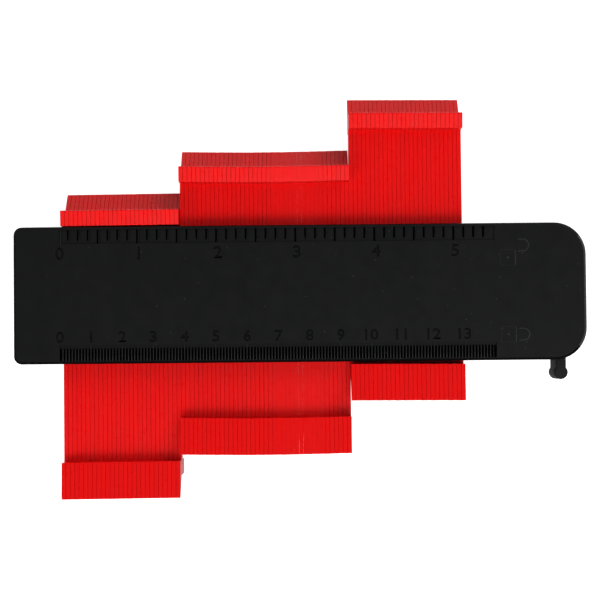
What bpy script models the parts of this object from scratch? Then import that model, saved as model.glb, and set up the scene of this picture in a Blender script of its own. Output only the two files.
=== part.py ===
# Contour gauge: a stack of thin plastic leaves that slide through a two-part housing,
# held by a cam lever that squeezes the stack from one end.
# Units are metres. X runs along the housing, Y along the leaves, Z from the rear face to the front face.

import math

import bmesh
import bpy
from mathutils import Matrix, Vector

# Leaves
LEFT_LEAVES = 27
MIDDLE_LEAVES = 39
RIGHT_LEAVES = 26
LEAVES_PER_NODE = 2
LEAF_THICKNESS = 0.00134
LEAF_GAP = 0.00007
SHAFT_DEPTH = 0.0052
SHAFT_LENGTH = 0.0760
LIP_HEIGHT = 0.0050
LIP_SLOPE = 0.0005
TIP_RISE = 0.0067
HEAD_SHY = 0.0002
LEAF_CHAMFER = 0.0005
TIP_BLUNT = 0.0005
GROOVE_DEPTH = 0.0002

# Where the leaves stand: the left group at its lower stop, the right group just below its upper stop,
# and the middle group near the middle of its travel, a little lower in its middle than at its ends
STOP_GAP = 0.0003
LEFT_GROUP_SLOPE = 0.00025
MIDDLE_GROUP_HEIGHT = -0.00165
MIDDLE_GROUP_SAG = 0.00035
RIGHT_GROUP_DROP = 0.0005
RIGHT_GROUP_SLOPE = -0.0003

# Housing
BODY_HEIGHT = 0.0441
BODY_THICKNESS = 0.0200
END_BLOCK = 0.0151
LOCK_BAY = 0.0391
LEFT_CORNER = 0.0026
RIGHT_CORNER = 0.0103
OUTER_EDGE = 0.0008
PLATE_WALL = 0.0024
END_WALL = 0.0022
GUIDE_LIP = 0.0030
SEAM_GAP = 0.0003
GUIDE_CLEARANCE = 0.0001
SLOT_SIDE_GAP = 0.0003
RIB = 0.0015
STACK_BAYS = 6

# Friction strips
STRIP_WIDTH = 0.0070
STRIP_THICKNESS = 0.0030
SEAT_GAP = 0.0003

# Lock: cam lever, its pin and the clamp block
LEVER_INSET = 0.0081
LEVER_REACH = 0.0284
LEVER_WIDTH = 0.0135
LEVER_SIDE_GAP = 0.00035
LEVER_ARM = 0.0033
LEVER_BULB_RADIUS = 0.00225
LEVER_EDGE = 0.0005
CAM_RADIUS = 0.0060
CAM_OFFSET = 0.0008
CAM_GAP = 0.0003
PIN_RADIUS = 0.0020
PIN_CHAMFER = 0.0003
PIN_SEAT_DEPTH = 0.0016
PIN_CLEARANCE = 0.00005
BLOCK_PLATE = 0.0050
BLOCK_END_GAP = 0.00125
RAM_HALF_HEIGHT = 0.0070
BLOCK_RUN = 0.0030
BLOCK_ROUND = 0.0006
LEVER_CLEAR = 0.0010

# Housing screws and their posts
SCREW_HEAD_RADIUS = 0.0024
SCREW_HEAD_HEIGHT = 0.0015
SCREW_HEAD_CHAMFER = 0.0004
SCREW_SHANK_RADIUS = 0.0010
SCREW_REACH = 0.0050
SCREW_CLEARANCE = 0.0002
SCREW_RECESS = 0.0002
POST_RADIUS = 0.0030
LEFT_POST_INSET = 0.00575

# Recessed bands for the two scales on the front face
SCALE_START = 0.0148
CENTIMETRE_SCALE = 0.1400
INCH_SCALE = 0.1397
INCH_BAND = 0.0045
CENTIMETRE_BAND = 0.0050
SCALE_RIM = 0.0010
SCALE_DEPTH = 0.0008

# How finely curves are divided, how far cutters and fillers run past what they meet,
# and distances below which points are one point or heights are one level
ROUND_STEPS = 24
SCREW_STEPS = 16
CORNER_STEPS = 12
EDGE_STEPS = 3
OVERSHOOT = 0.0010
EMBED = 0.0005
SAME_POINT = 0.0000001
SAME_LEVEL = 0.00001

LEAF_COUNT = LEFT_LEAVES + MIDDLE_LEAVES + RIGHT_LEAVES
LEAF_PITCH = LEAF_THICKNESS + LEAF_GAP
STACK_LENGTH = LEAF_COUNT * LEAF_PITCH - LEAF_GAP
BODY_LENGTH = END_BLOCK + STACK_LENGTH + LOCK_BAY

BODY_LEFT = -BODY_LENGTH / 2
BODY_RIGHT = BODY_LENGTH / 2
BODY_TOP = BODY_HEIGHT / 2
STACK_LEFT = BODY_LEFT + END_BLOCK
STACK_RIGHT = STACK_LEFT + STACK_LENGTH
MIDDLE_Z = BODY_THICKNESS / 2

# Levels measured from the middle plane of the housing, outwards to either face
OUTER_LEVEL = BODY_THICKNESS / 2
FLOOR_LEVEL = OUTER_LEVEL - PLATE_WALL
SEAM_LEVEL = SEAM_GAP / 2
GUIDE_LEVEL = SHAFT_DEPTH / 2 + GUIDE_CLEARANCE
STRIP_FLOOR_LEVEL = GUIDE_LEVEL + STRIP_THICKNESS + SEAT_GAP
LEVER_LEVEL = LEVER_WIDTH / 2 + LEVER_SIDE_GAP
PIN_SEAT_LEVEL = LEVER_LEVEL + PIN_SEAT_DEPTH

TRAVEL = (SHAFT_LENGTH - BODY_HEIGHT) / 2 - STOP_GAP
CAVITY_TOP = BODY_TOP - GUIDE_LIP
BLOCK_STROKE = 2 * CAM_OFFSET

LEVER_X = BODY_RIGHT - LEVER_INSET
LEVER_BAY_LEFT = LEVER_X - LEVER_BULB_RADIUS - LEVER_CLEAR
PARTITION_LEFT = LEVER_BAY_LEFT - END_WALL
SLOT_LEFT = STACK_LEFT - SLOT_SIDE_GAP
SLOT_RIGHT = STACK_RIGHT + BLOCK_STROKE + SLOT_SIDE_GAP
RIBS_RIGHT = STACK_RIGHT - RIB
BLOCK_LEFT = STACK_RIGHT + SLOT_SIDE_GAP
RAM_LEFT = BLOCK_LEFT + BLOCK_PLATE
CHANNEL_LEFT = RAM_LEFT + BLOCK_RUN
RAM_RIGHT = LEVER_X - CAM_OFFSET - CAM_RADIUS - CAM_GAP
BLOCK_PLATE_HALF = CAVITY_TOP - BLOCK_END_GAP
CHANNEL_HALF_HEIGHT = RAM_HALF_HEIGHT + SEAT_GAP
STRIP_CHANNEL_HALF = STRIP_WIDTH / 2 + SEAT_GAP
STRIP_CHANNEL_LEFT = SLOT_LEFT + RIB
STRIP_CHANNEL_RIGHT = RIBS_RIGHT - RIB

# The right end's pockets lie beside the ram, and their posts stand in the middle of them
POCKET_LEFT = CHANNEL_LEFT + RIB
POCKET_BOTTOM = CHANNEL_HALF_HEIGHT + RIB
LEFT_POST_X = BODY_LEFT + END_BLOCK / 2
LEFT_POST_Y = CAVITY_TOP - LEFT_POST_INSET
RIGHT_POST_X = (POCKET_LEFT + PARTITION_LEFT) / 2
RIGHT_POST_Y = (POCKET_BOTTOM + CAVITY_TOP) / 2

FRONT = 1
REAR = -1


def clear_scene():
    for item in list(bpy.data.objects):
        bpy.data.objects.remove(item)


def make_material(name, colour, roughness, metallic=0.0):
    material = bpy.data.materials.new(name)
    material.use_nodes = True
    shader = material.node_tree.nodes["Principled BSDF"]
    shader.inputs["Base Color"].default_value = (*colour, 1.0)
    shader.inputs["Roughness"].default_value = roughness
    shader.inputs["Metallic"].default_value = metallic
    return material


def make_mesh(name, shape, sharp_angle=35.0):
    bmesh.ops.recalc_face_normals(shape, faces=shape.faces)
    mesh = bpy.data.meshes.new(name)
    shape.to_mesh(mesh)
    shape.free()
    mesh.shade_smooth()
    mesh.set_sharp_from_angle(angle=math.radians(sharp_angle))
    return mesh


def make_object(name, mesh, material, place=(0.0, 0.0, 0.0)):
    item = bpy.data.objects.new(name, mesh)
    item.location = place
    if material and not mesh.materials:
        mesh.materials.append(material)
    bpy.context.scene.collection.objects.link(item)
    return item


def make_helper(name, shape):
    """A cutter or a filler: it shapes another object and isn't a piece itself."""
    item = make_object(name, make_mesh(name, shape), None)
    item.hide_render = True
    item.display_type = "WIRE"
    return item


def add_boolean(target, helper, operation):
    step = target.modifiers.new(helper.name, "BOOLEAN")
    step.operation = operation
    step.solver = "EXACT"
    step.object = helper


def add_box(shape, x_range, y_range, z_range):
    low = Vector((min(x_range), min(y_range), min(z_range)))
    high = Vector((max(x_range), max(y_range), max(z_range)))
    place = Matrix.LocRotScale((low + high) / 2, None, high - low)
    bmesh.ops.create_cube(shape, size=1.0, matrix=place)


def add_face(shape, outline):
    return shape.faces.new([shape.verts.new(point) for point in outline])


def extrude_face(shape, face, move):
    """Extrudes a face along a vector and returns the far face. Only a first cap stays behind."""
    inside = any(len(edge.link_faces) > 1 for edge in face.edges)
    made = bmesh.ops.extrude_face_region(shape, geom=[face])["geom"]
    far = [part for part in made if isinstance(part, bmesh.types.BMFace)][0]
    bmesh.ops.translate(shape, verts=far.verts, vec=move)
    if inside and face.is_valid:
        shape.faces.remove(face)
    return far


def add_prism(shape, outline, rise):
    """A closed solid between an outline of 3-D points and its copy moved along a vector."""
    return extrude_face(shape, add_face(shape, outline), rise)


def shrink(shape, verts, depth):
    """Moves a loop of vertices inwards, square to the sides that meet at each of them."""
    bmesh.ops.recalc_face_normals(shape, faces=shape.faces)
    shape.normal_update()
    moves = {vert: vert.normal * depth * vert.calc_shell_factor() for vert in verts}
    for vert, move in moves.items():
        vert.co -= move


def add_turned(shape, profile, centre, steps):
    """Spins a profile of (radius, z) points round a vertical axis and caps its two ends.
    An end on the axis is a point, and every other end gets one flat face."""
    corners = [shape.verts.new((centre[0] + radius, centre[1], z)) for radius, z in profile]
    edges = [shape.edges.new(pair) for pair in zip(corners, corners[1:])]
    bmesh.ops.spin(
        shape,
        geom=corners + edges,
        cent=(centre[0], centre[1], 0.0),
        axis=(0.0, 0.0, 1.0),
        angle=2 * math.pi,
        steps=steps,
        use_merge=True,
    )
    bmesh.ops.remove_doubles(shape, verts=shape.verts, dist=SAME_POINT)
    rims = [edge for edge in shape.edges if len(edge.link_faces) == 1]
    bmesh.ops.holes_fill(shape, edges=rims, sides=0)


def arc(centre, radius, start, end, steps):
    """Points along an arc, angles in degrees."""
    angles = [math.radians(start + (end - start) * step / steps) for step in range(steps + 1)]
    return [(centre[0] + radius * math.cos(a), centre[1] + radius * math.sin(a)) for a in angles]


def body_outline():
    """The housing seen from the front: small corners at the left, large ones at the lever end."""
    right = BODY_RIGHT - RIGHT_CORNER
    left = BODY_LEFT + LEFT_CORNER
    right_y = BODY_TOP - RIGHT_CORNER
    left_y = BODY_TOP - LEFT_CORNER
    return (
        arc((right, -right_y), RIGHT_CORNER, -90, 0, CORNER_STEPS)
        + arc((right, right_y), RIGHT_CORNER, 0, 90, CORNER_STEPS)
        + arc((left, left_y), LEFT_CORNER, 90, 180, CORNER_STEPS // 2)
        + arc((left, -left_y), LEFT_CORNER, 180, 270, CORNER_STEPS // 2)
    )


def level_range(side, low, high):
    """Two levels on the front or rear side of the middle plane, as heights above the rear face."""
    return (MIDDLE_Z + side * low, MIDDLE_Z + side * high)


def screw_places():
    return [
        (LEFT_POST_X, LEFT_POST_Y),
        (LEFT_POST_X, -LEFT_POST_Y),
        (RIGHT_POST_X, RIGHT_POST_Y),
        (RIGHT_POST_X, -RIGHT_POST_Y),
    ]


def cover_blank(side):
    """The outer block of one cover, with its outer edge rounded."""
    shape = bmesh.new()
    seam_z, outer_z = level_range(side, SEAM_LEVEL, OUTER_LEVEL)
    outline = [(x, y, seam_z) for x, y in body_outline()]
    add_prism(shape, outline, (0.0, 0.0, outer_z - seam_z))
    rim = [
        edge
        for edge in shape.edges
        if all(abs(vert.co.z - outer_z) < SAME_LEVEL for vert in edge.verts)
    ]
    bmesh.ops.bevel(
        shape,
        geom=rim,
        offset=OUTER_EDGE,
        offset_type="OFFSET",
        affect="EDGES",
        segments=EDGE_STEPS,
        profile=0.5,
        material=-1,
    )
    return shape


def cut_passages(side):
    """Where the leaves cross the housing, and where the lever swings."""
    shape = bmesh.new()
    across = (-BODY_TOP - OVERSHOOT, BODY_TOP + OVERSHOOT)
    lever_bay = (LEVER_BAY_LEFT, BODY_RIGHT + OVERSHOOT)
    add_box(shape, (SLOT_LEFT, SLOT_RIGHT), across, level_range(side, -OVERSHOOT, GUIDE_LEVEL))
    add_box(shape, lever_bay, across, level_range(side, -OVERSHOOT, LEVER_LEVEL))
    return shape


def cut_pockets(side):
    """The hollows of the moulding, between its ribs."""
    shape = bmesh.new()
    depth = level_range(side, -OVERSHOOT, FLOOR_LEVEL)
    spacing = (RIBS_RIGHT - SLOT_LEFT - RIB) / STACK_BAYS
    bay_bottom = STRIP_CHANNEL_HALF + RIB
    for number in range(STACK_BAYS):
        left = SLOT_LEFT + RIB + number * spacing
        for mirror in (1, -1):
            add_box(shape, (left, left + spacing - RIB), (mirror * bay_bottom, mirror * CAVITY_TOP), depth)
    strip_channel = (STRIP_CHANNEL_LEFT, STRIP_CHANNEL_RIGHT)
    half = STRIP_CHANNEL_HALF
    add_box(shape, strip_channel, (-half, half), level_range(side, -OVERSHOOT, STRIP_FLOOR_LEVEL))
    left_end = (BODY_LEFT + END_WALL, SLOT_LEFT - END_WALL)
    add_box(shape, left_end, (-CAVITY_TOP, CAVITY_TOP), depth)
    add_box(shape, (RIBS_RIGHT, CHANNEL_LEFT), (-CAVITY_TOP, CAVITY_TOP), depth)
    for mirror in (1, -1):
        high = (mirror * POCKET_BOTTOM, mirror * CAVITY_TOP)
        add_box(shape, (POCKET_LEFT, PARTITION_LEFT), high, depth)
    return shape


def cut_channel(side):
    """The way the clamp block's ram slides, through the partition to the cam."""
    shape = bmesh.new()
    add_box(
        shape,
        (CHANNEL_LEFT - OVERSHOOT, LEVER_BAY_LEFT + OVERSHOOT),
        (-CHANNEL_HALF_HEIGHT, CHANNEL_HALF_HEIGHT),
        level_range(side, -OVERSHOOT, FLOOR_LEVEL),
    )
    return shape


def fill_posts(side):
    """Screw posts that stand on the plate's inner face."""
    shape = bmesh.new()
    near, far = level_range(side, SEAM_LEVEL, FLOOR_LEVEL + EMBED)
    for place in screw_places():
        add_turned(shape, [(POST_RADIUS, near), (POST_RADIUS, far)], place, SCREW_STEPS)
    return shape


def cut_holes(side):
    """The pin's seat, and the screws' pilot holes in front or counterbored holes at the rear."""
    shape = bmesh.new()
    pin_hole = PIN_RADIUS + PIN_CLEARANCE
    near, far = level_range(side, -OVERSHOOT, PIN_SEAT_LEVEL + SEAT_GAP)
    add_turned(shape, [(pin_hole, near), (pin_hole, far)], (LEVER_X, 0.0), ROUND_STEPS)
    shank = SCREW_SHANK_RADIUS + SCREW_CLEARANCE
    head = SCREW_HEAD_RADIUS + SCREW_CLEARANCE
    for place in screw_places():
        if side == FRONT:
            near, far = level_range(side, -OVERSHOOT, SCREW_REACH + SEAT_GAP)
            profile = [(shank, near), (shank, far)]
        else:
            seat_level = OUTER_LEVEL - SCREW_RECESS - SCREW_HEAD_HEIGHT - SEAT_GAP
            near, seat = level_range(side, -OVERSHOOT, seat_level)
            outside = level_range(side, 0.0, OUTER_LEVEL + OVERSHOOT)[1]
            profile = [(shank, near), (shank, seat), (head, seat), (head, outside)]
        add_turned(shape, profile, place, SCREW_STEPS)
    return shape


def cut_scales():
    """Two shallow bands along the front face's long edges, for the centimetre and inch scales."""
    shape = bmesh.new()
    left = BODY_LEFT + SCALE_START
    depth = (BODY_THICKNESS - SCALE_DEPTH, BODY_THICKNESS + OVERSHOOT)
    outer = BODY_TOP - SCALE_RIM
    add_box(shape, (left, left + INCH_SCALE), (outer - INCH_BAND, outer), depth)
    add_box(shape, (left, left + CENTIMETRE_SCALE), (-outer, CENTIMETRE_BAND - outer), depth)
    return shape


def make_cover(name, side, material):
    cover = make_object(name, make_mesh(name, cover_blank(side)), material)
    add_boolean(cover, make_helper(name + "_passages", cut_passages(side)), "DIFFERENCE")
    add_boolean(cover, make_helper(name + "_pockets", cut_pockets(side)), "DIFFERENCE")
    add_boolean(cover, make_helper(name + "_channel", cut_channel(side)), "DIFFERENCE")
    add_boolean(cover, make_helper(name + "_posts", fill_posts(side)), "UNION")
    add_boolean(cover, make_helper(name + "_holes", cut_holes(side)), "DIFFERENCE")
    if side == FRONT:
        add_boolean(cover, make_helper(name + "_scales", cut_scales()), "DIFFERENCE")
    return cover


def leaf_profile():
    """One leaf seen along the stack, as (y, z) points round its middle.
    Each end is a head with a lip on one face, which leans in towards the shaft,
    and a wedge on the other face that runs to a tip,
    and the two ends are the same shape turned half a turn."""
    shoulder = SHAFT_LENGTH / 2
    lip_top = shoulder + LIP_HEIGHT
    tip = lip_top + TIP_RISE
    face = OUTER_LEVEL - HEAD_SHY
    shaft = SHAFT_DEPTH / 2
    cut = LEAF_CHAMFER
    upper = [
        (shoulder, shaft),
        (shoulder, face - LIP_SLOPE),
        (lip_top - cut, face),
        (lip_top, face - cut),
        (lip_top, -shaft),
        (tip, -face + TIP_BLUNT),
        (tip, -face),
        (shoulder, -face),
        (shoulder, -shaft),
    ]
    return upper + [(-y, -z) for y, z in upper]


def leaf_mesh(name, count, material):
    """Neighbouring leaves that stand at one height, joined side by side with a groove at each meeting plane."""
    shape = bmesh.new()
    left = -(count * LEAF_PITCH - LEAF_GAP) / 2
    face = add_face(shape, [(left, y, z) for y, z in leaf_profile()])
    for number in range(count):
        first = number == 0
        last = number == count - 1
        flat = LEAF_THICKNESS - (0 if first else GROOVE_DEPTH) - (0 if last else GROOVE_DEPTH)
        face = extrude_face(shape, face, (flat, 0.0, 0.0))
        if not last:
            face = extrude_face(shape, face, (GROOVE_DEPTH + LEAF_GAP / 2, 0.0, 0.0))
            groove = list(face.verts)
            face = extrude_face(shape, face, (GROOVE_DEPTH + LEAF_GAP / 2, 0.0, 0.0))
            shrink(shape, groove, GROOVE_DEPTH)
    mesh = make_mesh(name, shape)
    mesh.materials.append(material)
    return mesh


def leaf_height(index):
    """Height of the leaf with this number, counted from the left, which need not be whole."""
    if index < LEFT_LEAVES:
        return -TRAVEL + LEFT_GROUP_SLOPE * index / LEFT_LEAVES
    index -= LEFT_LEAVES
    if index < MIDDLE_LEAVES:
        return MIDDLE_GROUP_HEIGHT - MIDDLE_GROUP_SAG * math.sin(math.pi * index / MIDDLE_LEAVES)
    index -= MIDDLE_LEAVES
    return TRAVEL - RIGHT_GROUP_DROP + RIGHT_GROUP_SLOPE * index / RIGHT_LEAVES


def leaf_sets():
    """First leaf and number of leaves of each node, pairing neighbours within each group."""
    sets = []
    first = 0
    for group in (LEFT_LEAVES, MIDDLE_LEAVES, RIGHT_LEAVES):
        end = first + group
        while first < end:
            count = min(LEAVES_PER_NODE, end - first)
            sets.append((first, count))
            first += count
    return sets


def make_leaves(material):
    meshes = {}
    for number, (first, count) in enumerate(leaf_sets(), start=1):
        if count not in meshes:
            meshes[count] = leaf_mesh(f"leaves_of_{count}", count, material)
        middle = first + count / 2
        width = count * LEAF_PITCH - LEAF_GAP
        place = (STACK_LEFT + first * LEAF_PITCH + width / 2, leaf_height(middle), MIDDLE_Z)
        make_object(f"leaves_{number:02d}", meshes[count], material, place)


def lever_outline():
    """The cam lever seen from the front round its pin, in the locked position:
    an offset round cam, an arm that points down, and a bulb at its end."""
    cam_centre = (-CAM_OFFSET, 0.0)
    half_arm = LEVER_ARM / 2
    meet_left = math.degrees(math.asin((half_arm - CAM_OFFSET) / CAM_RADIUS))
    meet_right = math.degrees(math.asin((half_arm + CAM_OFFSET) / CAM_RADIUS))
    cam = arc(cam_centre, CAM_RADIUS, -90 + meet_right, 270 - meet_left, ROUND_STEPS)
    bulb_y = -LEVER_REACH + LEVER_BULB_RADIUS
    flare = math.degrees(math.acos(half_arm / LEVER_BULB_RADIUS))
    bulb = arc((0.0, bulb_y), LEVER_BULB_RADIUS, 180 - flare, 360 + flare, ROUND_STEPS // 2)
    return cam + bulb


def make_lever(material):
    shape = bmesh.new()
    rear = -LEVER_WIDTH / 2
    outline = [(x, y, rear) for x, y in lever_outline()]
    add_prism(shape, outline, (0.0, 0.0, LEVER_WIDTH))
    rims = [edge for edge in shape.edges if abs(edge.verts[0].co.z - edge.verts[1].co.z) < SAME_LEVEL]
    bmesh.ops.bevel(
        shape,
        geom=rims,
        offset=LEVER_EDGE,
        offset_type="OFFSET",
        affect="EDGES",
        segments=1,
        profile=0.5,
        material=-1,
    )
    lever = make_object("lock_lever", make_mesh("lock_lever", shape), material, (LEVER_X, 0.0, MIDDLE_Z))
    bore = bmesh.new()
    radius = PIN_RADIUS + PIN_CLEARANCE
    low, high = level_range(FRONT, -LEVER_LEVEL, LEVER_LEVEL)
    add_turned(bore, [(radius, low), (radius, high)], (LEVER_X, 0.0), ROUND_STEPS)
    add_boolean(lever, make_helper("lock_lever_bore", bore), "DIFFERENCE")


def make_lever_pin(material):
    """The steel pin that carries the lever between the two covers."""
    shape = bmesh.new()
    low, high = level_range(FRONT, -PIN_SEAT_LEVEL, PIN_SEAT_LEVEL)
    profile = [
        (PIN_RADIUS - PIN_CHAMFER, low),
        (PIN_RADIUS, low + PIN_CHAMFER),
        (PIN_RADIUS, high - PIN_CHAMFER),
        (PIN_RADIUS - PIN_CHAMFER, high),
    ]
    add_turned(shape, profile, (0.0, 0.0), ROUND_STEPS)
    make_object("lever_pin", make_mesh("lever_pin", shape), material, (LEVER_X, 0.0, 0.0))


def make_clamp_block(material):
    """A T-shaped slider: its plate presses the last leaf and its ram follows the cam."""
    shape = bmesh.new()
    low = MIDDLE_Z - FLOOR_LEVEL + SEAT_GAP
    high = MIDDLE_Z + FLOOR_LEVEL - SEAT_GAP
    length = RAM_RIGHT - BLOCK_LEFT
    outline = [
        (0.0, -BLOCK_PLATE_HALF, low),
        (BLOCK_PLATE, -BLOCK_PLATE_HALF, low),
        (BLOCK_PLATE, -RAM_HALF_HEIGHT, low),
        (length, -RAM_HALF_HEIGHT, low),
        (length, RAM_HALF_HEIGHT, low),
        (BLOCK_PLATE, RAM_HALF_HEIGHT, low),
        (BLOCK_PLATE, BLOCK_PLATE_HALF, low),
        (0.0, BLOCK_PLATE_HALF, low),
    ]
    add_prism(shape, outline, (0.0, 0.0, high - low))
    block = make_object("clamp_block", make_mesh("clamp_block", shape), material, (BLOCK_LEFT, 0.0, 0.0))
    rounding = block.modifiers.new("edges", "BEVEL")
    rounding.width = BLOCK_ROUND
    rounding.segments = 1
    rounding.limit_method = "ANGLE"


def make_friction_strip(name, side, material):
    """A rubber strip in the covers' middle channel, which drags on every leaf."""
    shape = bmesh.new()
    length = (STRIP_CHANNEL_LEFT + SEAT_GAP, STRIP_CHANNEL_RIGHT - SEAT_GAP)
    half = STRIP_WIDTH / 2
    add_box(shape, length, (-half, half), level_range(side, GUIDE_LEVEL, GUIDE_LEVEL + STRIP_THICKNESS))
    make_object(name, make_mesh(name, shape), material)


def make_housing_screws(material):
    """Four self-tapping screws, driven from the rear into the front cover's posts."""
    top = OUTER_LEVEL - SCREW_RECESS
    head_top, head_under = level_range(REAR, top, top - SCREW_HEAD_HEIGHT)
    end = MIDDLE_Z + SCREW_REACH
    profile = [
        (SCREW_HEAD_RADIUS - SCREW_HEAD_CHAMFER, head_top),
        (SCREW_HEAD_RADIUS, head_top + SCREW_HEAD_CHAMFER),
        (SCREW_HEAD_RADIUS, head_under),
        (SCREW_SHANK_RADIUS, head_under),
        (SCREW_SHANK_RADIUS, end - SCREW_SHANK_RADIUS),
        (0.0, end),
    ]
    shape = bmesh.new()
    add_turned(shape, profile, (0.0, 0.0), SCREW_STEPS)
    mesh = make_mesh("housing_screw", shape)
    for number, (x, y) in enumerate(screw_places(), start=1):
        make_object(f"housing_screw_{number}", mesh, material, (x, y, 0.0))


def main():
    clear_scene()
    black = make_material("black_housing", (0.016, 0.017, 0.018), 0.42)
    lever_black = make_material("black_lever", (0.014, 0.014, 0.015), 0.38)
    red = make_material("red_leaf", (0.78, 0.012, 0.014), 0.40)
    grey = make_material("clamp_plastic", (0.05, 0.05, 0.052), 0.50)
    rubber = make_material("strip_rubber", (0.02, 0.02, 0.02), 0.85)
    steel = make_material("pin_steel", (0.56, 0.57, 0.58), 0.28, 1.0)
    zinc = make_material("screw_steel", (0.42, 0.42, 0.43), 0.35, 1.0)
    make_cover("front_cover", FRONT, black)
    make_cover("rear_cover", REAR, black)
    make_leaves(red)
    make_lever(lever_black)
    make_lever_pin(steel)
    make_clamp_block(grey)
    make_friction_strip("front_friction_strip", FRONT, rubber)
    make_friction_strip("rear_friction_strip", REAR, rubber)
    make_housing_screws(zinc)


main()
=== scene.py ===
import math
import random

import bmesh
import bpy
from mathutils import Matrix, Vector


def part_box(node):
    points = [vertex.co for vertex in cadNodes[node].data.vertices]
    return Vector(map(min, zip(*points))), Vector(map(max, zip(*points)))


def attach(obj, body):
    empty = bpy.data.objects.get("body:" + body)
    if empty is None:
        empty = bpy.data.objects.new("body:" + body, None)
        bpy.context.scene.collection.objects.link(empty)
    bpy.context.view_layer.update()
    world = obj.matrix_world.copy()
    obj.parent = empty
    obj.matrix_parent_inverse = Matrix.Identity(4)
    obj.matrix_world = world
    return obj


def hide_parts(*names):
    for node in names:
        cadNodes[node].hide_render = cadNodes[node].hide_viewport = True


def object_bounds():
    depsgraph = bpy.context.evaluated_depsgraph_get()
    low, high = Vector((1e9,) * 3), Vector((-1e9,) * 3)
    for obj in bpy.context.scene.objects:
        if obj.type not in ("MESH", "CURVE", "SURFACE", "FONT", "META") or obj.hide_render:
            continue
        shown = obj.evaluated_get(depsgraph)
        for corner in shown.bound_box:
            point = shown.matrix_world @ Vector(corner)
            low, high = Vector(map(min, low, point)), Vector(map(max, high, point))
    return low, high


# Contour gauge: black moulded housing, 92 red leaves, cam lever. X runs along the housing,
# Y along the leaves, and the front face looks up along Z. Lengths are written in millimetres.
mm = 0.001
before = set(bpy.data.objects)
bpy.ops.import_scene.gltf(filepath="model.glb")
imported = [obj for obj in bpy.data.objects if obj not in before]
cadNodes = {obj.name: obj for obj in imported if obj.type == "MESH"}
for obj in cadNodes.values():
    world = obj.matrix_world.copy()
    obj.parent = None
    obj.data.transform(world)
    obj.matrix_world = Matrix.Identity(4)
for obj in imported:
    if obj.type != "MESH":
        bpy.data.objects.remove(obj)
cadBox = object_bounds()
print("frame loaded:", len(cadNodes), "nodes")


# Helpers shared by all pieces

def roundEdges(shape, edges, radius, steps):
    bmesh.ops.bevel(
        shape,
        geom=edges,
        offset=radius,
        offset_type="OFFSET",
        affect="EDGES",
        segments=steps,
        profile=0.5,
        material=-1,
        clamp_overlap=True,
    )


def extrudeFace(shape, face, move):
    made = bmesh.ops.extrude_face_region(shape, geom=[face])["geom"]
    far = [part for part in made if isinstance(part, bmesh.types.BMFace)]
    bmesh.ops.translate(shape, verts=far[0].verts, vec=move)


def addBlock(shape, low, high):
    low, high = Vector(low), Vector(high)
    place = Matrix.LocRotScale((low + high) / 2, None, high - low)
    return bmesh.ops.create_cube(shape, size=1.0, matrix=place)["verts"]


def meshFrom(name, shape):
    bmesh.ops.recalc_face_normals(shape, faces=shape.faces)
    mesh = bpy.data.meshes.new(name)
    shape.to_mesh(mesh)
    shape.free()
    return mesh


def addObject(name, data):
    item = bpy.data.objects.new(name, data)
    bpy.context.scene.collection.objects.link(item)
    return item


# The CAD node's shape as a mesh of its own, with its loose triangles joined
def nodeCopy(name, nodeName):
    shape = bmesh.new()
    shape.from_mesh(cadNodes[nodeName].data)
    bmesh.ops.remove_doubles(shape, verts=shape.verts, dist=0.001 * mm)
    mesh = bpy.data.meshes.new(name)
    shape.to_mesh(mesh)
    shape.free()
    while mesh.attributes.get("custom_normal"):
        mesh.attributes.remove(mesh.attributes["custom_normal"])
    return addObject(name, mesh)


# Cuts a closed shape out of a piece
def cutAway(item, shape):
    cutter = addObject("cutter", meshFrom("cutter", shape))
    cut = item.modifiers.new("cut", "BOOLEAN")
    cut.operation = "DIFFERENCE"
    cut.solver = "EXACT"
    cut.use_self = True
    cut.object = cutter
    depsgraph = bpy.context.evaluated_depsgraph_get()
    done = bpy.data.meshes.new_from_object(item.evaluated_get(depsgraph))
    item.modifiers.clear()
    item.data = done
    bpy.data.objects.remove(cutter)


# Joins the slivers that a cut leaves in a flat face, because they would shade unevenly
def joinFlats(mesh, angle):
    shape = bmesh.new()
    shape.from_mesh(mesh)
    bmesh.ops.dissolve_limit(
        shape,
        angle_limit=math.radians(angle),
        use_dissolve_boundaries=False,
        verts=shape.verts,
        edges=shape.edges,
        delimit=set(),
    )
    shape.to_mesh(mesh)
    shape.free()


def shadePiece(item, sharpAngle=38):
    item.data.shade_smooth()
    item.data.set_sharp_from_angle(angle=math.radians(sharpAngle))
    flats = item.modifiers.new("flats stay flat", "WEIGHTED_NORMAL")
    flats.keep_sharp = True


def placePiece(item, body, material, replaced):
    item.data.materials.clear()
    item.data.materials.append(material)
    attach(item, body)
    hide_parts(*replaced)


# Materials

def startMaterial(name):
    material = bpy.data.materials.new(name)
    material.use_nodes = True
    tree = material.node_tree
    shader = tree.nodes["Principled BSDF"]
    place = tree.nodes.new("ShaderNodeTexCoord")
    return material, tree, shader, place.outputs["Object"]


def stretch(tree, place, factors):
    mapping = tree.nodes.new("ShaderNodeMapping")
    mapping.inputs["Scale"].default_value = factors
    tree.links.new(place, mapping.inputs["Vector"])
    return mapping.outputs["Vector"]


noiseRange = (0.3, 0.7)  # nearly all of a noise texture's values lie between these


# Cloudy noise whose blots are about this many millimetres across
def noise(tree, place, size, detail=2.0, roughness=0.5):
    texture = tree.nodes.new("ShaderNodeTexNoise")
    texture.inputs["Scale"].default_value = 1 / (size * mm)
    texture.inputs["Detail"].default_value = detail
    texture.inputs["Roughness"].default_value = roughness
    tree.links.new(place, texture.inputs["Vector"])
    return texture.outputs["Fac"]


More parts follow.
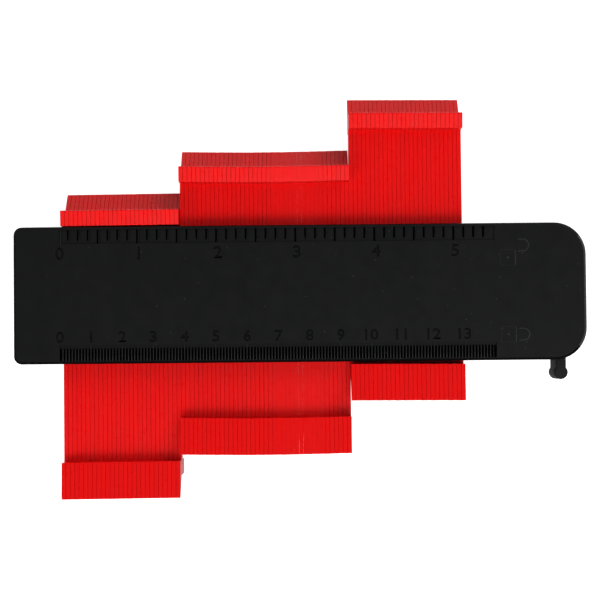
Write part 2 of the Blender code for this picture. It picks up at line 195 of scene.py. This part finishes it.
def remap(tree, value, fromRange, toRange):
    ranges = tree.nodes.new("ShaderNodeMapRange")
    ranges.inputs["From Min"].default_value = fromRange[0]
    ranges.inputs["From Max"].default_value = fromRange[1]
    ranges.inputs["To Min"].default_value = toRange[0]
    ranges.inputs["To Max"].default_value = toRange[1]
    tree.links.new(value, ranges.inputs["Value"])
    return ranges.outputs["Result"]


# Mixes two colours, each a fixed colour or another node's output
def blend(tree, factor, first, second):
    mix = tree.nodes.new("ShaderNodeMix")
    mix.data_type = "RGBA"
    tree.links.new(factor, mix.inputs[0])
    for socket, colour in ((mix.inputs[6], first), (mix.inputs[7], second)):
        if isinstance(colour, tuple):
            socket.default_value = (*colour, 1)
        else:
            tree.links.new(colour, socket)
    return mix.outputs[2]


def calculate(tree, operation, first, second):
    step = tree.nodes.new("ShaderNodeMath")
    step.operation = operation
    for socket, value in zip(step.inputs, (first, second)):
        if isinstance(value, (int, float)):
            socket.default_value = value
        else:
            tree.links.new(value, socket)
    return step.outputs[0]


def bump(tree, shader, height, strength, depth):
    relief = tree.nodes.new("ShaderNodeBump")
    relief.inputs["Strength"].default_value = strength
    relief.inputs["Distance"].default_value = depth * mm
    tree.links.new(height, relief.inputs["Height"])
    tree.links.new(relief.outputs["Normal"], shader.inputs["Normal"])


blackPlastic = {
    "deep": (0.0050, 0.0053, 0.0053),
    "pale": (0.0066, 0.0069, 0.0068),
    "dust": (0.05, 0.05, 0.048),
    "cloudSize": 26,
    "cloudRange": (0.35, 0.65),
    "speckSize": 3.4,  # one cell of the dust, of which a speck fills only the middle
    "speckRange": (0.035, 0.06),
    "speckStrength": 0.7,
    "wornSize": 5,
    "roughnessSpread": 0.05,
    "grainSize": 0.32,
    "grainDepth": 0.012,
    "grainStrength": 0.55,
}


# Fine satin moulding, a little cloudy, with the odd speck of dust
def makeBlackPlastic(name, tone, gloss, grain=1.0, roughness=0.33):
    look = blackPlastic
    material, tree, shader, place = startMaterial(name)
    clouds = noise(tree, place, look["cloudSize"], detail=4, roughness=0.6)
    clouds = remap(tree, clouds, look["cloudRange"], (0, 1))
    deep = tuple(value * tone for value in look["deep"])
    pale = tuple(value * tone for value in look["pale"])
    colour = blend(tree, clouds, deep, pale)
    specks = tree.nodes.new("ShaderNodeTexVoronoi")
    specks.inputs["Scale"].default_value = 1 / (look["speckSize"] * mm)
    tree.links.new(place, specks.inputs["Vector"])
    speck = remap(tree, specks.outputs["Distance"], look["speckRange"], (look["speckStrength"], 0))
    colour = blend(tree, speck, colour, look["dust"])
    tree.links.new(colour, shader.inputs["Base Color"])
    worn = noise(tree, place, look["wornSize"], detail=3)
    spread = look["roughnessSpread"]
    worn = remap(tree, worn, noiseRange, (roughness - spread, roughness + spread))
    tree.links.new(worn, shader.inputs["Roughness"])
    grains = noise(tree, place, look["grainSize"], detail=3)
    bump(tree, shader, grains, look["grainStrength"] * grain, look["grainDepth"])
    shader.inputs["Specular IOR Level"].default_value = gloss
    return material


redPlastic = {
    "deep": (0.74, 0.0020, 0.0022),
    "bright": (0.89, 0.0034, 0.0034),
    "gloss": 0.14,
    "leafSpread": 0.10,  # how far a leaf's own shade may be from the others
    "streak": (2.2, 0.12, 2.2),
    "streakRange": (0.4, 0.75),
    "satinSize": 2.5,
    "roughness": (0.26, 0.34),
    "flow": (1.0, 0.35, 1.0),
    "flowSize": 1.2,
    "flowDepth": 0.004,
    "flowStrength": 0.15,
}


# Satin red, each leaf a shade of its own, with faint flow lines along the leaf
def makeRedPlastic(name, tone=1.0, gloss=1.0):
    look = redPlastic
    material, tree, shader, place = startMaterial(name)
    number = tree.nodes.new("ShaderNodeAttribute")
    number.attribute_name = "leafNumber"
    lot = tree.nodes.new("ShaderNodeTexWhiteNoise")
    lot.noise_dimensions = "1D"
    tree.links.new(number.outputs["Fac"], lot.inputs["W"])
    streaks = noise(tree, stretch(tree, place, look["streak"]), 1.0, detail=3)
    streaks = remap(tree, streaks, noiseRange, look["streakRange"])
    spread = remap(tree, lot.outputs["Value"], (0, 1), (-look["leafSpread"], look["leafSpread"]))
    shade = calculate(tree, "ADD", streaks, spread)
    deep = tuple(value * tone for value in look["deep"])
    bright = tuple(value * tone for value in look["bright"])
    tree.links.new(blend(tree, shade, deep, bright), shader.inputs["Base Color"])
    satin = noise(tree, place, look["satinSize"], detail=2)
    tree.links.new(remap(tree, satin, noiseRange, look["roughness"]), shader.inputs["Roughness"])
    flow = noise(tree, stretch(tree, place, look["flow"]), look["flowSize"], detail=1)
    bump(tree, shader, flow, look["flowStrength"], look["flowDepth"])
    shader.inputs["Specular IOR Level"].default_value = look["gloss"] * gloss
    return material


steel = {
    "pin": (0.56, 0.57, 0.58),
    "pinRoughness": (0.2, 0.36),
    "screw": (0.45, 0.45, 0.46),
    "screwRoughness": (0.28, 0.45),
    "darker": 0.72,
    "marks": (1, 1, 6),
    "markSize": 0.4,
    "markDepth": 0.01,
    "markStrength": 0.3,
}


# Drawn or turned steel with fine marks round it
def makeSteel(name, tone, roughness):
    look = steel
    material, tree, shader, place = startMaterial(name)
    marks = noise(tree, stretch(tree, place, look["marks"]), look["markSize"], detail=4)
    dark = tuple(value * look["darker"] for value in tone)
    tree.links.new(blend(tree, marks, dark, tone), shader.inputs["Base Color"])
    shader.inputs["Metallic"].default_value = 1
    tree.links.new(remap(tree, marks, noiseRange, roughness), shader.inputs["Roughness"])
    bump(tree, shader, marks, look["markStrength"], look["markDepth"])
    return material


rubber = {
    "deep": (0.012, 0.012, 0.013),
    "pale": (0.03, 0.03, 0.03),
    "roughness": (0.75, 0.95),
    "poreSize": 0.6,
    "poreDepth": 0.03,
    "poreStrength": 0.5,
}


# Dull rubber with fine pores
def makeRubber(name):
    look = rubber
    material, tree, shader, place = startMaterial(name)
    pores = noise(tree, place, look["poreSize"], detail=3)
    tree.links.new(blend(tree, pores, look["deep"], look["pale"]), shader.inputs["Base Color"])
    tree.links.new(remap(tree, pores, noiseRange, look["roughness"]), shader.inputs["Roughness"])
    bump(tree, shader, pores, look["poreStrength"], look["poreDepth"])
    return material


clampPlastic = {
    "deep": (0.035, 0.035, 0.037),
    "pale": (0.06, 0.06, 0.062),
    "roughness": (0.42, 0.6),
    "cloudSize": 4,
    "grainSize": 0.4,
    "grainDepth": 0.01,
    "grainStrength": 0.4,
}


# Dark grey slippery plastic of the clamp block
def makeClampPlastic(name):
    look = clampPlastic
    material, tree, shader, place = startMaterial(name)
    clouds = noise(tree, place, look["cloudSize"], detail=3)
    tree.links.new(blend(tree, clouds, look["deep"], look["pale"]), shader.inputs["Base Color"])
    tree.links.new(remap(tree, clouds, noiseRange, look["roughness"]), shader.inputs["Roughness"])
    bump(tree, shader, noise(tree, place, look["grainSize"]), look["grainStrength"], look["grainDepth"])
    return material


# Tone scales the plastic's colour, gloss and grain its shine and its relief. The rim and digit copies are
# darker as painted shade, the recess copy as painted shadow, and the rib and glint copies lighter as
# painted highlight
housingBlack = makeBlackPlastic("housing_black", tone=0.5, gloss=0.08)
rimShadeBlack = makeBlackPlastic("rim_painted_shade_black", tone=0.4, gloss=0.01)
recessShadowBlack = makeBlackPlastic("recess_painted_shadow_black", tone=0.15, gloss=0.0, grain=1.6)
digitShadeBlack = makeBlackPlastic("digit_painted_shade_black", tone=0.3, gloss=0.05, grain=0.4)
ribHighlightBlack = makeBlackPlastic("rib_painted_highlight_black", tone=1.2, gloss=0.12)
glintBlack = makeBlackPlastic("glint_black", tone=2.2, gloss=0.3)
leverBlack = makeBlackPlastic("lever_black", tone=2.8, gloss=0.013, grain=2.2, roughness=0.66)
leafRed = makeRedPlastic("leaf_red")
# Copies of the red: the edges darker as painted shade between the leaves, the lips lighter as painted
# light, the heads darker as painted shade
leafEdgeShadeRed = makeRedPlastic("leaf_edge_painted_shade_red", tone=0.6, gloss=0.05)
leafLipLitRed = makeRedPlastic("leaf_lip_painted_light_red", tone=1.1, gloss=1.4)
leafHeadShadeRed = makeRedPlastic("leaf_head_painted_shade_red", tone=0.92, gloss=0.85)
pinSteel = makeSteel("pin_steel_drawn", steel["pin"], steel["pinRoughness"])
screwZinc = makeSteel("screw_zinc", steel["screw"], steel["screwRoughness"])
stripRubber = makeRubber("strip_rubber_black")
clampGrey = makeClampPlastic("clamp_grey")
print("materials made")


# Leaves: each is a moulded plate with a head at both ends. The upper head has its lip in front
# and its wedge at the rear, and the lower head is the same shape turned half a turn.
leafLook = {
    "thickness": 1.40,
    "pitch": 1.41,
    "gap": 0.07,
    "shaftDepth": 5.2,
    "lipHeight": 5.0,
    "tipRise": 6.7,  # how far the wedge's tip stands past the lip
    "tipBlunt": 0.5,
    "lipSlope": 0.7,  # how far the faces of lip and head lean
    "headSlope": 0.8,
    "lipRound": 0.5,
    "tipRound": 0.36,
    "cornerSteps": 3,
    "edgeRound": 0.22,  # less than the tip's round, or the two run into each other
    "edgeSteps": 2,
    "reachRange": 0.1,  # how near a corner has to lie to the height it is looked for at
    "tiny": 0.002,  # shorter edges than this are joined
    "edgeTurn": 0.2,  # faces turned further sideways than this take the edge's painted shade, darker between the leaves
    "flatTurn": 0.9,  # faces turned at least this far to front or rear are flats of lip or head
    "slack": 0.02,
    "lot": 11,
}


def crossesLeaf(edge):
    return abs(edge.verts[0].co.x - edge.verts[1].co.x) > leafLook["thickness"] * mm / 2


# Drawn as a closed line seen from the side, then given its thickness and its rounds
def leafMesh(name, left, middleY, halfLength, middleZ, face):
    look = leafLook
    shape = bmesh.new()
    shaft = look["shaftDepth"] * mm / 2
    lipTop = halfLength - look["tipRise"] * mm
    shoulder = lipTop - look["lipHeight"] * mm
    upper = [
        (shoulder, shaft),
        (shoulder, face - look["lipSlope"] * mm),
        (lipTop, face),
        (lipTop, -shaft),
        (halfLength, -face + look["tipBlunt"] * mm),
        (halfLength, -face),
        (shoulder, look["headSlope"] * mm - face),
        (shoulder, -shaft),
    ]
    turned = [(-y, -z) for y, z in upper]
    corners = [shape.verts.new((left, middleY + y, middleZ + z)) for y, z in upper + turned]
    side = shape.faces.new(corners)
    extrudeFace(shape, side, (look["thickness"] * mm, 0, 0))
    for reach, radius in ((lipTop, look["lipRound"]), (halfLength, look["tipRound"])):
        corner = [
            edge
            for edge in shape.edges
            if all(abs(abs(vert.co.y - middleY) - reach) < look["reachRange"] * mm for vert in edge.verts)
            and all(abs(vert.co.z - middleZ) > shaft + mm for vert in edge.verts)
            and crossesLeaf(edge)
        ]
        roundEdges(shape, corner, radius * mm, look["cornerSteps"])
    rims = [edge for edge in shape.edges if not crossesLeaf(edge)]
    roundEdges(shape, rims, look["edgeRound"] * mm, look["edgeSteps"])
    bmesh.ops.dissolve_degenerate(shape, edges=shape.edges, dist=look["tiny"] * mm)
    return meshFrom(name, shape)


# 1 on the rounded edges, painted darker as shade between the leaves; 2 on the flat of a lip, painted
# lighter as a highlight; 3 on the flat of a head's wedge, painted darker as shade; and 0 elsewhere
def leafFinish(side, middle):
    look = leafLook
    offset = side.center - middle
    if abs(side.normal.x) > look["edgeTurn"]:
        return 1
    if abs(side.normal.z) < look["flatTurn"] or abs(offset.z) < look["shaftDepth"] * mm:
        return 0
    return 2 if offset.y * offset.z > 0 else 3


def makeLeaves():
    look = leafLook
    lots = random.Random(look["lot"])
    pitch = look["pitch"] * mm
    wider = (look["thickness"] + look["gap"] - look["pitch"]) * mm / 2
    number = 0
    # A node holds one leaf or two, and each leaf is a plate of its own here
    for nodeName in sorted(name for name in cadNodes if name.startswith("leaves_")):
        low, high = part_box(nodeName)
        middle = (low + high) / 2
        count = round((high.x - low.x) / pitch)
        for place in range(count):
            number += 1
            name = f"leaf_plate_{number:02d}"
            slack = look["slack"] * mm
            shift = lots.uniform(-slack, slack)
            halfLength = (high.y - low.y) / 2 - slack
            left = low.x + place * pitch - wider
            mesh = leafMesh(name, left, middle.y + shift, halfLength, middle.z, (high.z - low.z) / 2)
            numbered = mesh.attributes.new("leafNumber", "FLOAT", "POINT")
            numbered.data.foreach_set("value", [float(number)] * len(mesh.vertices))
            leaf = addObject(name, mesh)
            shadePiece(leaf)
            placePiece(leaf, nodeName, leafRed, [nodeName])
            for material in (leafEdgeShadeRed, leafLipLitRed, leafHeadShadeRed):
                leaf.data.materials.append(material)
            for side in leaf.data.polygons:
                side.material_index = leafFinish(side, middle)
    print("leaves made:", number)


makeLeaves()


# Housing covers

housingLook = {
    "scaleStart": 14.8,  # from the housing's left end to both zeros
    "inches": 5,
    "inch": 25.4,
    "centimetres": 13,
    "centimetre": 10,
    "inchDigit": 3.9,
    "centimetreDigit": 3.5,
    "inchDigitY": 13.2,
    "centimetreDigitY": -13.6,
    "figureShare": 0.729,  # a figure's height as a share of the typeface's size
    "digitWidth": 1.12,
    "digitBody": 0.04,
    "digitSlope": 0.14,
    "digitDepth": 2.0,
    "digitBold": 0.10,
    "digitSteps": 3,
    "tensShift": -0.6,  # numbers with two figures stand a little to the left
    "numbersReach": 18,
    "lockX": 66.8,
    "lockedY": -13.8,
    "openY": 10.8,
    "lockSize": (4.8, 4.9),
    "lockLine": 0.2,  # the lock's outline is finer than its other lines
    "keyhole": 0.25,
    "shackleGap": 0.9,
    "shackleRadius": 1.9,
    "shackleLength": 1.5,
    "shackleSteps": 12,
    "openShift": 4.0,
    "grooveWidth": 0.42,
    "grooveDepth": 0.2,
    "grooveMouth": 1.5,
    "grooveFoot": 0.3,
    "sharpest": 0.5,  # a corner is drawn out to twice the line's width at most
    "joinRange": 0.0005,
    "joinAngle": 0.5,
    "sunkRange": (0.001, 0.5),  # how far the faces of the signs lie below the front face
    "glintTurn": 0.4,  # walls that face right this much get a painted highlight
    "rimTurn": 0.05,  # and faces of the lower rim turned down this much get painted shade
}


# One number as a solid whose walls lean in as they sink into the face
def digitCutter(text, height, x, y, z):
    look = housingLook
    letters = bpy.data.curves.new("digit_" + text, "FONT")
    letters.body = text
    letters.size = height * mm / look["figureShare"]
    letters.align_x = "CENTER"
    letters.align_y = "CENTER"
    letters.resolution_u = look["digitSteps"]
    letters.extrude = look["digitBody"] * mm
    letters.bevel_depth = look["digitSlope"] * mm
    letters.bevel_resolution = 0
    letters.offset = (look["digitBold"] - look["digitSlope"]) * mm
    holder = addObject("digit_holder", letters)
    depsgraph = bpy.context.evaluated_depsgraph_get()
    mesh = bpy.data.meshes.new_from_object(holder.evaluated_get(depsgraph))
    bpy.data.objects.remove(holder)
    flatten = Matrix.Diagonal((look["digitWidth"], 1, look["digitDepth"], 1))
    mesh.transform(Matrix.Translation((x, y, z)) @ flatten)
    return mesh


# A groove along a line of points, widest at the face: the line is closed or has two square ends
def addGroove(shape, points, face, closed=True, share=1.0):
    look = housingLook
    width, depth = look["grooveWidth"] * share * mm / 2, look["grooveDepth"] * share * mm
    mouth, foot = width * look["grooveMouth"], width * look["grooveFoot"]
    rings = []
    for number, point in enumerate(points):
        before = points[number - 1] if closed or number else point
        after = points[(number + 1) % len(points)] if closed or number + 1 < len(points) else point
        inward, outward = (point - before).normalized(), (after - point).normalized()
        along = (inward + outward).normalized()
        straight = along.dot(outward if outward.length else inward)
        across = Vector((-along.y, along.x, 0)) / max(look["sharpest"], straight)
        rings.append([
            shape.verts.new(point + across * side * reach + Vector((0, 0, level)))
            for side, reach, level in (
                (1, mouth, face + depth / 2),
                (-1, mouth, face + depth / 2),
                (-1, foot, face - depth),
                (1, foot, face - depth),
            )
        ])
    pairs = list(zip(rings, rings[1:]))
    if closed:
        pairs.append((rings[-1], rings[0]))
    else:
        shape.faces.new(rings[0])
        shape.faces.new(rings[-1][::-1])
    for near, far in pairs:
        for corner in range(4):
            following = (corner + 1) % 4
            shape.faces.new((near[corner], near[following], far[following], far[corner]))


# A padlock lying on its side: its shackle points to the right, and stands off when it is open
def addPadlock(shape, y, shift, face):
    look = housingLook
    x, y = look["lockX"] * mm, y * mm
    long, tall = (size * mm / 2 for size in look["lockSize"])
    corners = ((-long, -tall), (long, -tall), (long, tall), (-long, tall))
    outline = [Vector((x + across, y + up, 0)) for across, up in corners]
    addGroove(shape, outline, face, share=look["lockLine"])
    addGroove(shape, [Vector((x + long, y - tall, 0)), Vector((x + long, y + tall, 0))], face, closed=False)
    radius = look["shackleRadius"] * mm
    near = x + long + look["shackleGap"] * mm
    bend = near + look["shackleLength"] * mm
    middle = y + shift * mm
    steps = look["shackleSteps"]
    turns = [math.pi / 2 - math.pi * step / steps for step in range(steps + 1)]
    hoop = [Vector((bend + radius * math.cos(turn), middle + radius * math.sin(turn), 0)) for turn in turns]
    ends = [Vector((near, middle + radius, 0)), Vector((near, middle - radius, 0))]
    addGroove(shape, [ends[0], *hoop, ends[1]], face, closed=False)
    hole = look["keyhole"] * mm
    quarters = [math.pi / 2 * quarter for quarter in range(4)]
    keyhole = [Vector((x + hole * math.cos(turn), y + hole * math.sin(turn), 0)) for turn in quarters]
    addGroove(shape, keyhole, face)


# Numbers along both scales and the two padlocks, sunk into the front face
def engrave(cover, face):
    look = housingLook
    shape = bmesh.new()
    start = cadBox[0].x + look["scaleStart"] * mm
    numbers = []
    for n in range(look["inches"] + 1):
        x = start + n * look["inch"] * mm
        numbers.append((str(n), look["inchDigit"], x, look["inchDigitY"] * mm))
    for n in range(look["centimetres"] + 1):
        shift = look["tensShift"] if n > 9 else 0
        x = start + (n * look["centimetre"] + shift) * mm
        numbers.append((str(n), look["centimetreDigit"], x, look["centimetreDigitY"] * mm))
    for text, height, x, y in numbers:
        shape.from_mesh(digitCutter(text, height, x, y, face))
    bmesh.ops.remove_doubles(shape, verts=shape.verts, dist=look["joinRange"] * mm)
    addPadlock(shape, look["lockedY"], 0, face)
    addPadlock(shape, look["openY"], look["openShift"], face)
    cutAway(cover, shape)
    joinFlats(cover.data, look["joinAngle"])


def makeCovers():
    look = housingLook
    face = cadBox[1].z
    front = nodeCopy("front_housing_shell", "front_cover")
    engrave(front, face)
    rear = nodeCopy("rear_housing_shell", "rear_cover")
    for cover, node in ((front, "front_cover"), (rear, "rear_cover")):
        shadePiece(cover)
        placePiece(cover, "housing", housingBlack, [node])
    for material in (digitShadeBlack, glintBlack, rimShadeBlack):
        front.data.materials.append(material)
    signsLeft = (look["lockX"] - look["lockSize"][0]) * mm
    reach = look["numbersReach"] * mm
    least, most = look["sunkRange"]
    # 1 in the sunk signs, painted darker as shade in the recesses; 2 on their walls that face right and on
    # the padlocks, painted lighter as a highlight; 3 on the lower rim, painted darker as shade; and 0
    # elsewhere
    for side in front.data.polygons:
        sunk = least * mm < face - side.center.z < most * mm
        if sunk and abs(side.center.y) < reach:
            glints = side.normal.x > look["glintTurn"] or side.center.x > signsLeft
            side.material_index = 2 if glints else 1
        elif side.normal.y < -look["rimTurn"] and side.center.y < -reach:
            side.material_index = 3
    print("covers made")


# Scale ribs: raised lines that stand in the two sunk bands, painted lighter as a highlight, with strips of
# painted shadow on the floor beside and between them

scaleLook = {
    "bandDepth": 0.8,
    "inchBand": 4.5,
    "centimetreBand": 5.0,
    "rim": 1.0,  # from the housing's edge to both bands
    "ribWidth": 0.34,
    "ribTop": 0.05,  # how far the ribs end below the face
    "ribRound": 0.1,
    "ribSteps": 2,
    "sink": 0.1,  # how far ribs and painted shadow strips reach into the housing
    "shade": 0.75,
    "shadeRise": 0.03,
    "shortInch": 1.0,
    "shortMillimetre": 1.05,
    "inchLength": 139.7,
    "tick": 3.175,
    "ticksPerMark": 4,
    "centimetreLength": 140,
    "millimetresPerMark": 10,
    "level": 0.01,  # an edge this near to a rib's top belongs to the top
}


# A thin dark strip of painted shadow on the sunk floor, beside or between the ribs
def addShade(shape, left, right, low, high, face):
    look = scaleLook
    before = len(shape.faces)
    floor = face - look["bandDepth"] * mm
    addBlock(shape, (left, low, floor - look["sink"] * mm), (right, high, floor + look["shadeRise"] * mm))
    shape.faces.ensure_lookup_table()
    for side in shape.faces[before:]:
        side.material_index = 1


def addRib(shape, x, low, high, face):
    look = scaleLook
    half = look["ribWidth"] * mm / 2
    top = face - look["ribTop"] * mm
    bottom = face - (look["bandDepth"] + look["sink"]) * mm
    corners = addBlock(shape, (x - half, low, bottom), (x + half, high, top))
    level = top - look["level"] * mm
    edges = {edge for corner in corners for edge in corner.link_edges}
    upper = [edge for edge in edges if all(end.co.z > level for end in edge.verts)]
    roundEdges(shape, upper, look["ribRound"] * mm, look["ribSteps"])


def makeScales():
    look = scaleLook
    face = cadBox[1].z
    start = cadBox[0].x + housingLook["scaleStart"] * mm
    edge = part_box("front_cover")[1].y - look["rim"] * mm
    under = look["sink"] * mm
    inner = edge - look["inchBand"] * mm
    inch = bmesh.new()
    for n in range(int(look["inchLength"] / look["tick"])):
        marked = n % look["ticksPerMark"] == 0
        low = inner - under if marked else inner + look["shortInch"] * mm
        x = start + n * look["tick"] * mm + (look["ribWidth"] * mm if n == 0 else 0)
        addRib(inch, x, low, edge + under, face)
        if n:
            # painted shadow to the left of each rib
            addShade(inch, x - look["shade"] * mm, x, max(low, inner), edge, face)
    inner = look["centimetreBand"] * mm - edge
    tops = inner - look["shortMillimetre"] * mm
    centimetre = bmesh.new()
    for n in range(1, look["centimetreLength"]):
        marked = n % look["millimetresPerMark"] == 0
        addRib(centimetre, start + n * mm, -edge - under, inner + under if marked else tops, face)
    # painted shade on the floor between the millimetre ribs
    addShade(centimetre, start, start + look["centimetreLength"] * mm, -edge, tops, face)
    for name, shape in (("inch_scale_ribs", inch), ("centimetre_scale_ribs", centimetre)):
        ribs = addObject(name, meshFrom(name, shape))
        shadePiece(ribs)
        # The ribs take the lighter black as a painted highlight, the strips the painted shadow
        ribs.data.materials.append(ribHighlightBlack)
        ribs.data.materials.append(recessShadowBlack)
        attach(ribs, "housing")
    print("scales made")


makeCovers()
makeScales()


# Lever, its pin, clamp block and friction strips

mechanismLook = {
    "sharpAngle": 50,  # the lever's and pin's round sides have few facets, so they are smoothed further
}


def makeMechanism():
    rows = [
        ("lever_arm", "lock_lever", "lever", leverBlack, "black_lever"),
        ("lever_axle", "lever_pin", "housing", pinSteel, "pin_steel"),
        ("clamp_slider", "clamp_block", "clamp", clampGrey, "clamp_plastic"),
        ("front_rubber_strip", "front_friction_strip", "housing", stripRubber, "strip_rubber"),
        ("rear_rubber_strip", "rear_friction_strip", "housing", stripRubber, "strip_rubber"),
    ]
    for name, node, body, material, slot in rows:
        piece = nodeCopy(name, node)
        shadePiece(piece, mechanismLook["sharpAngle"])
        placePiece(piece, body, material, [node])
    print("lock made")


makeMechanism()


# Housing screws, driven from the rear: each has a pan head with a cross recess

screwLook = {
    "headRadius": 2.4,
    "headHeight": 1.5,
    "headCurve": ((0.45, 0.02), (0.8, 0.15), (0.96, 0.4), (1.0, 0.75)),  # share of the radius, and depth
    "shankRadius": 1.0,
    "steps": 24,
    "joinRange": 0.001,
    "crossWidth": 0.55,
    "crossLength": 2.6,
    "crossDepth": 0.8,
    "crossStep": 0.016,  # one slot is this much shallower, so that their floors don't coincide
    "firstTurn": 20,
    "turnStep": 31,
}


def makeScrew(number):
    look = screwLook
    node = f"housing_screw_{number}"
    low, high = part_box(node)
    centre = (low + high) / 2
    shape = bmesh.new()
    head, shank = look["headRadius"] * mm, look["shankRadius"] * mm
    top = low.z
    under = top + look["headHeight"] * mm
    profile = [
        (0, top),
        *((head * share, top + depth * mm) for share, depth in look["headCurve"]),
        (head, under),
        (shank, under),
        (shank, high.z - shank),
        (0, high.z),
    ]
    line = [shape.verts.new((centre.x + radius, centre.y, z)) for radius, z in profile]
    edges = [shape.edges.new(pair) for pair in zip(line, line[1:])]
    bmesh.ops.spin(
        shape,
        geom=line + edges,
        cent=(centre.x, centre.y, 0),
        axis=(0, 0, 1),
        angle=2 * math.pi,
        steps=look["steps"],
        use_merge=True,
    )
    bmesh.ops.remove_doubles(shape, verts=shape.verts, dist=look["joinRange"] * mm)
    screw = addObject(f"screw_{number}", meshFrom(f"screw_{number}", shape))
    cross = bmesh.new()
    long, thin, depth = look["crossLength"] * mm / 2, look["crossWidth"] * mm / 2, look["crossDepth"] * mm
    addBlock(cross, (-long, -thin, -mm), (long, thin, depth))
    addBlock(cross, (-thin, -long, -mm), (thin, long, depth - look["crossStep"] * mm))
    turn = math.radians(look["firstTurn"] + look["turnStep"] * number)
    bmesh.ops.rotate(cross, verts=cross.verts, cent=(0, 0, 0), matrix=Matrix.Rotation(turn, 3, "Z"))
    bmesh.ops.translate(cross, verts=cross.verts, vec=(centre.x, centre.y, top))
    cutAway(screw, cross)
    shadePiece(screw)
    placePiece(screw, "housing", screwZinc, [node])


for screwNumber in range(1, 5):
    makeScrew(screwNumber)
print("screws made")


# Floor, light and camera

studio = {
    "floorSize": 4000,
    "floorGap": 0.3,
    "floorTone": (0.80, 0.80, 0.80),
    "floorRoughness": 0.9,
    "floorGlow": 0.92,
    "skyRange": (0.0, 0.75),  # the horizon's light fades out between these heights
    "horizon": {"east": 0.4, "north": 1.1, "west": 0.1, "south": 1.2},
    "zenith": 0.03,
    "lampDistance": 900,
    "lamps": {  # bearing and lift in degrees, size, power in watts
        "northEast": (45, 42, 620, 2.4),
        "southWest": (225, 42, 620, 2.5),
        "highSouth": (270, 63, 320, 2.45),
        "highSouthEast": (315, 66, 300, 1.35),
    },
    "cameraSpot": (-0.02, -19.9, 587),
    "cameraTurn": (1.79, 0.0, -0.55),
    "sensor": 36,
    "lens": 106.2,
    "clipStart": 10,
}


# 1 where the camera sees the surface, in a reflection or through glass too, and 0 where it lights others
def seenDirectly(tree):
    path = tree.nodes.new("ShaderNodeLightPath")
    seen = calculate(tree, "MAXIMUM", path.outputs["Is Camera Ray"], path.outputs["Is Glossy Ray"])
    return calculate(tree, "MAXIMUM", seen, path.outputs["Is Transmission Ray"])


# A pale floor that keeps the shadow and glows up to white wherever it is seen
def makeFloor():
    shape = bmesh.new()
    bmesh.ops.create_grid(shape, x_segments=1, y_segments=1, size=studio["floorSize"] * mm / 2)
    bmesh.ops.translate(shape, verts=shape.verts, vec=(0, 0, cadBox[0].z - studio["floorGap"] * mm))
    floor = addObject("floor", meshFrom("floor", shape))
    material = bpy.data.materials.new("pale_floor")
    material.use_nodes = True
    tree = material.node_tree
    paint = tree.nodes["Principled BSDF"]
    paint.inputs["Base Color"].default_value = (*studio["floorTone"], 1)
    paint.inputs["Roughness"].default_value = studio["floorRoughness"]
    paint.inputs["Specular IOR Level"].default_value = 0.0
    glow = tree.nodes.new("ShaderNodeEmission")
    shine = calculate(tree, "MULTIPLY", seenDirectly(tree), studio["floorGlow"])
    tree.links.new(shine, glow.inputs["Strength"])
    both = tree.nodes.new("ShaderNodeAddShader")
    tree.links.new(paint.outputs[0], both.inputs[0])
    tree.links.new(glow.outputs[0], both.inputs[1])
    tree.links.new(both.outputs[0], tree.nodes["Material Output"].inputs["Surface"])
    floor.data.materials.append(material)


# A pale horizon, brighter towards some sides, under a darker ceiling. Where it is seen, it is plain white.
def makeWorld():
    world = bpy.data.worlds.new("studio")
    bpy.context.scene.world = world
    world.use_nodes = True
    tree = world.node_tree
    background = tree.nodes["Background"]
    background.inputs["Color"].default_value = (1, 1, 1, 1)
    direction = tree.nodes.new("ShaderNodeTexCoord")
    parts = tree.nodes.new("ShaderNodeSeparateXYZ")
    tree.links.new(direction.outputs["Generated"], parts.inputs[0])
    ring = 0.0
    sides = {
        "east": ("X", (0, 1)),
        "west": ("X", (0, -1)),
        "north": ("Y", (0, 1)),
        "south": ("Y", (0, -1)),
    }
    for side, (axis, reach) in sides.items():
        share = remap(tree, parts.outputs[axis], reach, (0, studio["horizon"][side]))
        ring = calculate(tree, "ADD", ring, share)
    height = remap(tree, parts.outputs["Z"], studio["skyRange"], (1, 0))
    level = calculate(tree, "ADD", calculate(tree, "MULTIPLY", ring, height), studio["zenith"])
    tree.links.new(calculate(tree, "MAXIMUM", level, seenDirectly(tree)), background.inputs["Strength"])


# A round lamp that looks at the origin: bearing 0 is towards +X, and lift is its height in degrees
def addLamp(name, bearing, lift, size, power):
    lamp = bpy.data.lights.new(name, "AREA")
    lamp.shape = "DISK"
    lamp.size = size * mm
    lamp.energy = power
    item = addObject(name, lamp)
    turn, lift = math.radians(bearing), math.radians(lift)
    away = Vector((math.cos(turn) * math.cos(lift), math.sin(turn) * math.cos(lift), math.sin(lift)))
    item.location = away * studio["lampDistance"] * mm
    item.rotation_mode = "QUATERNION"
    item.rotation_quaternion = away.to_track_quat("Z", "Y")


def makeCamera():
    camera = bpy.data.cameras.new("camera")
    camera.sensor_width = studio["sensor"]
    camera.lens = studio["lens"]
    camera.clip_start = studio["clipStart"] * mm
    item = addObject("camera", camera)
    item.location = Vector(studio["cameraSpot"]) * mm
    item.rotation_mode = "ZYX"
    item.rotation_euler = [math.radians(angle) for angle in studio["cameraTurn"]]
    bpy.context.scene.camera = item


makeFloor()
makeWorld()
for lampName, lampSetting in studio["lamps"].items():
    addLamp(lampName + "_lamp", *lampSetting)
makeCamera()
bpy.context.scene.view_settings.view_transform = "Standard"
print("studio made")
